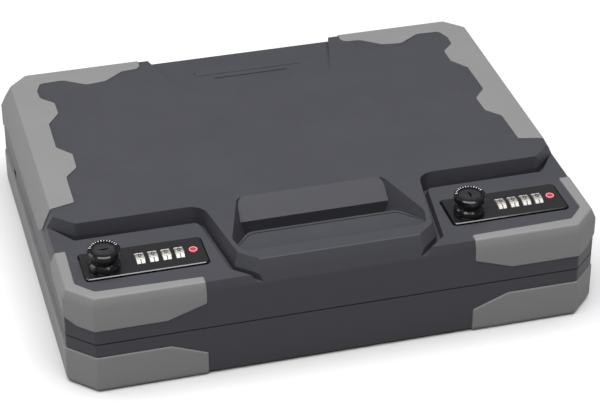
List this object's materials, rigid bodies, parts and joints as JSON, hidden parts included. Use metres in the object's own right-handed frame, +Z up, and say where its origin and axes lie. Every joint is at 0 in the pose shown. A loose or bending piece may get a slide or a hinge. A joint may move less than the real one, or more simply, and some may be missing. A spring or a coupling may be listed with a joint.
{
  "type": "lock box",
  "caption": "Hard-sided clamshell lock box with soft corner armour, recessed carry grip, rear hinge and twin combination locks with turn knobs on front ledges.",
  "frame": {"origin": "centre of the footprint at the bottom of the armour feet", "axes": "+X along the long side to the right when facing the lock side, +Y from the lock side to the hinge side, +Z up"},
  "size_m": [0.385, 0.308, 0.093],
  "materials": {
    "shell_plastic": "fine satin moulded texture",
    "armour_rubber": "matt overmoulded elastomer",
    "lining_foam": "open-cell charcoal foam",
    "bright_steel": "plain zinc-plated steel",
    "dial_chrome": "satin chrome",
    "marker_red": "gloss red",
    "lock_casting": "as-cast zinc, dark coated",
    "plug_metal": "dark nickel",
    "lock_black": "gloss black"
  },
  "bodies": {
    "base": {"base_shell": "shell_plastic", "base_armour_left": "armour_rubber", "base_armour_right": "armour_rubber", "base_foam": "lining_foam", "left_strike": "bright_steel", "right_strike": "bright_steel", "strike_screws": "bright_steel", "hinge_pin_left": "bright_steel", "hinge_pin_right": "bright_steel"},
    "lid": {"lid_shell": "shell_plastic", "lid_armour_front_left": "armour_rubber", "lid_armour_front_right": "armour_rubber", "lid_armour_rear_left": "armour_rubber", "lid_armour_rear_right": "armour_rubber", "lid_foam": "lining_foam", "left_lock_plate": "lock_black", "left_lock_housing": "lock_casting", "left_lock_cover": "lock_casting", "left_cover_screws": "bright_steel", "left_dial_axle": "bright_steel", "left_lock_dot": "marker_red", "right_lock_plate": "lock_black", "right_lock_housing": "lock_casting", "right_lock_cover": "lock_casting", "right_cover_screws": "bright_steel", "right_dial_axle": "bright_steel", "right_lock_dot": "marker_red"},
    "left_knob": {"left_knob": "lock_black"},
    "left_key": {"left_key_plug": "plug_metal"},
    "left_bolt": {"left_latch_bolt": "bright_steel"},
    "left_dial_1": {"left_dial_1": "dial_chrome"},
    "left_dial_2": {"left_dial_2": "dial_chrome"},
    "left_dial_3": {"left_dial_3": "dial_chrome"},
    "left_dial_4": {"left_dial_4": "dial_chrome"},
    "right_knob": {"right_knob": "lock_black"},
    "right_key": {"right_key_plug": "plug_metal"},
    "right_bolt": {"right_latch_bolt": "bright_steel"},
    "right_dial_1": {"right_dial_1": "dial_chrome"},
    "right_dial_2": {"right_dial_2": "dial_chrome"},
    "right_dial_3": {"right_dial_3": "dial_chrome"},
    "right_dial_4": {"right_dial_4": "dial_chrome"}
  },
  "joints": [
    {"name": "lid_hinge", "type": "hinge", "parent": "base", "child": "lid", "pos_m": [0, 0.1495, 0.04], "axis": [-1, 0, 0], "range_deg": [0, 100]},
    {"name": "left_knob_turn", "type": "hinge", "parent": "lid", "child": "left_knob", "pos_m": [-0.159, -0.117, 0.085], "axis": [0, 0, 1], "range_deg": [0, 90]},
    {"name": "left_key_turn", "type": "hinge", "parent": "left_knob", "child": "left_key", "pos_m": [-0.159, -0.117, 0.0905], "axis": [0, 0, 1], "range_deg": [0, 90]},
    {"name": "left_bolt_slide", "type": "slide", "parent": "lid", "child": "left_bolt", "axis": [0, -1, 0], "range_m": [0, 0.005]},
    {"name": "left_dial_1_turn", "type": "hinge", "parent": "lid", "child": "left_dial_1", "pos_m": [-0.1337, -0.112, 0.0696], "axis": [1, 0, 0], "continuous": true},
    {"name": "left_dial_2_turn", "type": "hinge", "parent": "lid", "child": "left_dial_2", "pos_m": [-0.1245, -0.112, 0.0696], "axis": [1, 0, 0], "continuous": true},
    {"name": "left_dial_3_turn", "type": "hinge", "parent": "lid", "child": "left_dial_3", "pos_m": [-0.1153, -0.112, 0.0696], "axis": [1, 0, 0], "continuous": true},
    {"name": "left_dial_4_turn", "type": "hinge", "parent": "lid", "child": "left_dial_4", "pos_m": [-0.1061, -0.112, 0.0696], "axis": [1, 0, 0], "continuous": true},
    {"name": "right_knob_turn", "type": "hinge", "parent": "lid", "child": "right_knob", "pos_m": [0.103, -0.117, 0.085], "axis": [0, 0, 1], "range_deg": [0, 90]},
    {"name": "right_key_turn", "type": "hinge", "parent": "right_knob", "child": "right_key", "pos_m": [0.103, -0.117, 0.0905], "axis": [0, 0, 1], "range_deg": [0, 90]},
    {"name": "right_bolt_slide", "type": "slide", "parent": "lid", "child": "right_bolt", "axis": [0, -1, 0], "range_m": [0, 0.005]},
    {"name": "right_dial_1_turn", "type": "hinge", "parent": "lid", "child": "right_dial_1", "pos_m": [0.1283, -0.112, 0.0696], "axis": [1, 0, 0], "continuous": true},
    {"name": "right_dial_2_turn", "type": "hinge", "parent": "lid", "child": "right_dial_2", "pos_m": [0.1375, -0.112, 0.0696], "axis": [1, 0, 0], "continuous": true},
    {"name": "right_dial_3_turn", "type": "hinge", "parent": "lid", "child": "right_dial_3", "pos_m": [0.1467, -0.112, 0.0696], "axis": [1, 0, 0], "continuous": true},
    {"name": "right_dial_4_turn", "type": "hinge", "parent": "lid", "child": "right_dial_4", "pos_m": [0.1559, -0.112, 0.0696], "axis": [1, 0, 0], "continuous": true}
  ],
  "couplings": [
    {"joint": "left_bolt_slide", "follows": "left_knob_turn", "m_per_rad": 0.0031831},
    {"joint": "right_bolt_slide", "follows": "right_knob_turn", "m_per_rad": 0.0031831}
  ]
}
